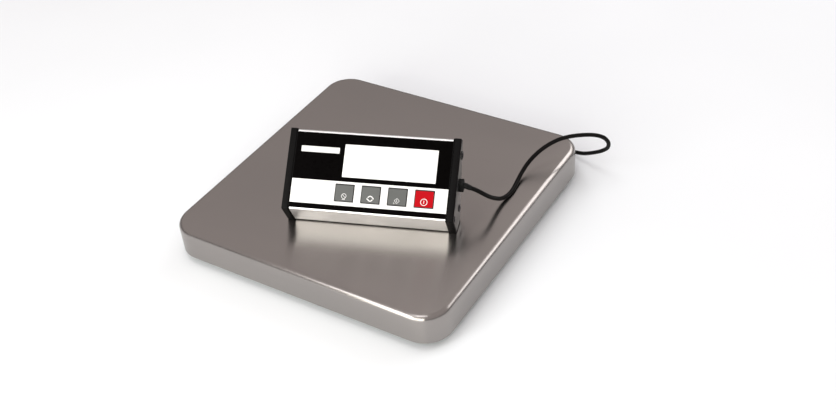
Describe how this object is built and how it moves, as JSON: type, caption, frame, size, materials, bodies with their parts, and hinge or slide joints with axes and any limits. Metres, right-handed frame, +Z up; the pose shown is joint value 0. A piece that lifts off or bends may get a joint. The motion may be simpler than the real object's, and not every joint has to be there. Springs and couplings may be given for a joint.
{
  "type": "platform shipping scale",
  "caption": "Low square shipping scale: a brushed platter with a turned-down skirt on a load cell, and a sloping indicator on a signal cord standing on it.",
  "frame": {"origin": "on the floor under the middle of the square platform", "axes": "+Z up, +X to the right along the front edge, +Y towards the back; the front edge is towards -Y"},
  "size_m": [0.3376, 0.3378, 0.115],
  "materials": {
    "painted_steel": "satin powder coat",
    "plated_steel": "zinc plated",
    "black_steel": "black oxide",
    "stainless": "brushed",
    "cell_aluminium": "clear anodised",
    "case_aluminium": "satin anodised",
    "rubber": "matte",
    "cord_jacket": "satin",
    "black_plastic": "fine texture",
    "white_plastic": "matte",
    "brass": "plain",
    "label_film": "printed film",
    "clear_lens": "clear over a pale display",
    "lcd_glass": "plain",
    "board_green": "solder mask",
    "battery_wrap": "plain wrap",
    "key_grey": "satin",
    "key_red": "satin"
  },
  "bodies": {
    "base": {"base_tray": "painted_steel", "foot_front_left": "rubber", "foot_front_right": "rubber", "foot_rear_left": "rubber", "foot_rear_right": "rubber", "foot_screws": "plated_steel", "foot_nuts": "plated_steel", "cell_spacer_lower": "plated_steel", "load_cell": "cell_aluminium", "cell_bolts_lower": "plated_steel", "stop_screws": "plated_steel", "stop_nuts": "plated_steel", "cell_lead": "cord_jacket", "lead_clips": "white_plastic", "base_bush": "rubber", "signal_cord": "cord_jacket", "cord_tail": "cord_jacket", "cord_hank": "cord_jacket", "cord_tie": "black_plastic"},
    "platform": {"cell_spacer_upper": "plated_steel", "cell_bolts_upper": "plated_steel", "top_frame": "painted_steel", "frame_pads": "rubber", "platter": "stainless"},
    "indicator": {"case_shell": "case_aluminium", "end_cap_left": "black_plastic", "end_cap_right": "black_plastic", "cap_screws": "black_steel", "front_label": "label_film", "display_lens": "clear_lens", "lcd_panel": "lcd_glass", "circuit_board": "board_green", "board_spacers": "brass", "board_screws": "plated_steel", "key_switches": "black_plastic", "board_parts": "black_plastic", "cable_gland": "rubber", "gland_nut": "black_plastic", "indicator_lead": "cord_jacket", "dc_jack": "black_plastic", "battery_box": "black_plastic", "battery_cells": "battery_wrap", "battery_contacts": "plated_steel", "rear_prop": "plated_steel", "prop_screws": "plated_steel", "prop_pad": "rubber", "base_strips": "rubber"},
    "battery_door": {"battery_door": "black_plastic"},
    "key_hold": {"key_hold": "key_grey"},
    "key_unit": {"key_unit": "key_grey"},
    "key_zero": {"key_zero": "key_grey"},
    "key_power": {"key_power": "key_red"}
  },
  "joints": [
    {"name": "platform_deflection", "type": "slide", "parent": "base", "child": "platform", "axis": [0, 0, 1], "range_m": [-0.0005, 0], "stiffness_N_per_m": 300000, "springref_m": 0.0001, "deforming": ["load_cell"]},
    {"name": "indicator_lift", "type": "slide", "parent": "platform", "child": "indicator", "axis": [0, 0, 1], "range_m": [0, 0.12]},
    {"name": "battery_door_slide", "type": "slide", "parent": "indicator", "child": "battery_door", "axis": [0.9455, 0.3256, 0], "range_m": [0, 0.014]},
    {"name": "key_hold_press", "type": "slide", "parent": "indicator", "child": "key_hold", "axis": [-0.2178, 0.6325, -0.7434], "range_m": [0, 0.0005], "stiffness_N_per_m": 1500, "springref_m": -0.0004},
    {"name": "key_unit_press", "type": "slide", "parent": "indicator", "child": "key_unit", "axis": [-0.2178, 0.6325, -0.7434], "range_m": [0, 0.0005], "stiffness_N_per_m": 1500, "springref_m": -0.0004},
    {"name": "key_zero_press", "type": "slide", "parent": "indicator", "child": "key_zero", "axis": [-0.2178, 0.6325, -0.7434], "range_m": [0, 0.0005], "stiffness_N_per_m": 1500, "springref_m": -0.0004},
    {"name": "key_power_press", "type": "slide", "parent": "indicator", "child": "key_power", "axis": [-0.2178, 0.6325, -0.7434], "range_m": [0, 0.0005], "stiffness_N_per_m": 1500, "springref_m": -0.0004}
  ]
}
